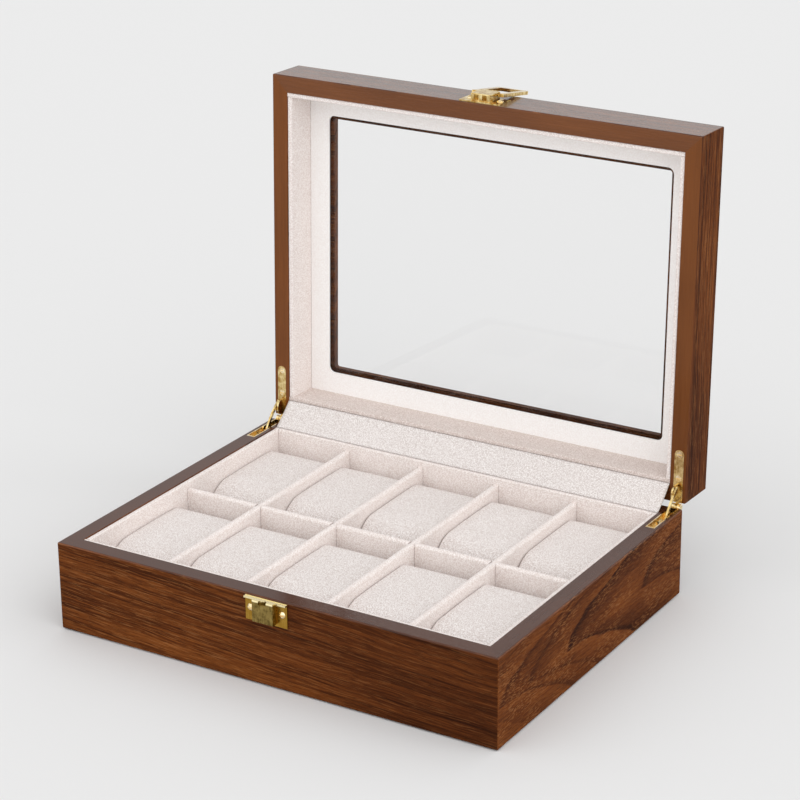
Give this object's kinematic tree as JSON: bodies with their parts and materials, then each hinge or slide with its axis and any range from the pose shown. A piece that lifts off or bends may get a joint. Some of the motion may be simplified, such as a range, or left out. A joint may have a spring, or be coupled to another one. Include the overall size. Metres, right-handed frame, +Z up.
{
  "type": "watch box",
  "caption": "Walnut-veneered watch box with a glazed hinged lid on stop hinges, suede-lined compartments with lift-out cushions, and a brass flip latch.",
  "frame": {"origin": "middle of the underside, on the face that rests on the table", "axes": "+X to the right seen from the front, +Y to the back where the hinges are, +Z up"},
  "size_m": [0.29, 0.2815, 0.284],
  "materials": {
    "walnut": "satin lacquer over straight-grained walnut veneer",
    "brass": "polished",
    "suede": "fine-grained suede cloth on board",
    "cushion": "fine-grained suede cloth over foam",
    "felt": "felt",
    "glass": "clear float glass"
  },
  "bodies": {
    "base": {"base_front_wall": "walnut", "base_rear_wall": "walnut", "base_left_wall": "walnut", "base_right_wall": "walnut", "base_floor": "walnut", "base_felt": "felt", "liner_floor": "suede", "liner_front": "suede", "liner_rear": "suede", "liner_left": "suede", "liner_right": "suede", "divider_long": "suede", "divider_cross_1": "suede", "divider_cross_2": "suede", "divider_cross_3": "suede", "divider_cross_4": "suede", "catch_plate": "brass", "catch_screws": "brass", "hinge_lower_leaf_left": "brass", "hinge_lower_leaf_right": "brass", "hinge_pins": "brass", "hinge_base_screws": "brass", "hinge_cloth": "suede"},
    "lid": {"lid_front_rail": "walnut", "lid_rear_rail": "walnut", "lid_left_rail": "walnut", "lid_right_rail": "walnut", "lid_panel": "walnut", "lid_glass": "glass", "lid_mat": "suede", "lid_liner_front": "suede", "lid_liner_rear": "suede", "lid_liner_left": "suede", "lid_liner_right": "suede", "hinge_upper_leaf_left": "brass", "hinge_upper_leaf_right": "brass", "hinge_lid_screws": "brass", "stay_rivets": "brass", "latch_plate": "brass", "latch_screws": "brass", "latch_pin": "brass"},
    "stay_left": {"stay_left": "brass"},
    "stay_right": {"stay_right": "brass"},
    "latch_hasp": {"latch_hasp": "brass"},
    "cushion_front_1": {"cushion_front_1": "cushion"},
    "cushion_front_2": {"cushion_front_2": "cushion"},
    "cushion_front_3": {"cushion_front_3": "cushion"},
    "cushion_front_4": {"cushion_front_4": "cushion"},
    "cushion_front_5": {"cushion_front_5": "cushion"},
    "cushion_rear_1": {"cushion_rear_1": "cushion"},
    "cushion_rear_2": {"cushion_rear_2": "cushion"},
    "cushion_rear_3": {"cushion_rear_3": "cushion"},
    "cushion_rear_4": {"cushion_rear_4": "cushion"},
    "cushion_rear_5": {"cushion_rear_5": "cushion"}
  },
  "joints": [
    {"name": "lid_hinge", "type": "hinge", "parent": "base", "child": "lid", "pos_m": [0, 0.1134, 0.0547], "axis": [-1, 0, 0], "range_deg": [-91.9, 0], "deforming": ["hinge_cloth"]},
    {"name": "hasp_pivot", "type": "hinge", "parent": "lid", "child": "latch_hasp", "pos_m": [0, 0.13475, 0.28212], "axis": [-1, 0, 0], "range_deg": [-187.88, 0]},
    {"name": "stay_left_pivot", "type": "hinge", "parent": "lid", "child": "stay_left", "pos_m": [-0.13975, 0.11202, 0.06735], "axis": [1, 0, 0], "range_deg": [-138.17, 0]},
    {"name": "stay_right_pivot", "type": "hinge", "parent": "lid", "child": "stay_right", "pos_m": [0.13975, 0.11202, 0.06735], "axis": [1, 0, 0], "range_deg": [-138.17, 0]},
    {"name": "cushion_front_1_lift", "type": "slide", "parent": "base", "child": "cushion_front_1", "axis": [0, 0, 1], "range_m": [0, 0.055]},
    {"name": "cushion_front_2_lift", "type": "slide", "parent": "base", "child": "cushion_front_2", "axis": [0, 0, 1], "range_m": [0, 0.055]},
    {"name": "cushion_front_3_lift", "type": "slide", "parent": "base", "child": "cushion_front_3", "axis": [0, 0, 1], "range_m": [0, 0.055]},
    {"name": "cushion_front_4_lift", "type": "slide", "parent": "base", "child": "cushion_front_4", "axis": [0, 0, 1], "range_m": [0, 0.055]},
    {"name": "cushion_front_5_lift", "type": "slide", "parent": "base", "child": "cushion_front_5", "axis": [0, 0, 1], "range_m": [0, 0.055]},
    {"name": "cushion_rear_1_lift", "type": "slide", "parent": "base", "child": "cushion_rear_1", "axis": [0, 0, 1], "range_m": [0, 0.055]},
    {"name": "cushion_rear_2_lift", "type": "slide", "parent": "base", "child": "cushion_rear_2", "axis": [0, 0, 1], "range_m": [0, 0.055]},
    {"name": "cushion_rear_3_lift", "type": "slide", "parent": "base", "child": "cushion_rear_3", "axis": [0, 0, 1], "range_m": [0, 0.055]},
    {"name": "cushion_rear_4_lift", "type": "slide", "parent": "base", "child": "cushion_rear_4", "axis": [0, 0, 1], "range_m": [0, 0.055]},
    {"name": "cushion_rear_5_lift", "type": "slide", "parent": "base", "child": "cushion_rear_5", "axis": [0, 0, 1], "range_m": [0, 0.055]}
  ],
  "couplings": [
    {"joint": "stay_left_pivot", "follows": "lid_hinge", "ratio": 1.5035},
    {"joint": "stay_right_pivot", "follows": "lid_hinge", "ratio": 1.5035}
  ]
}
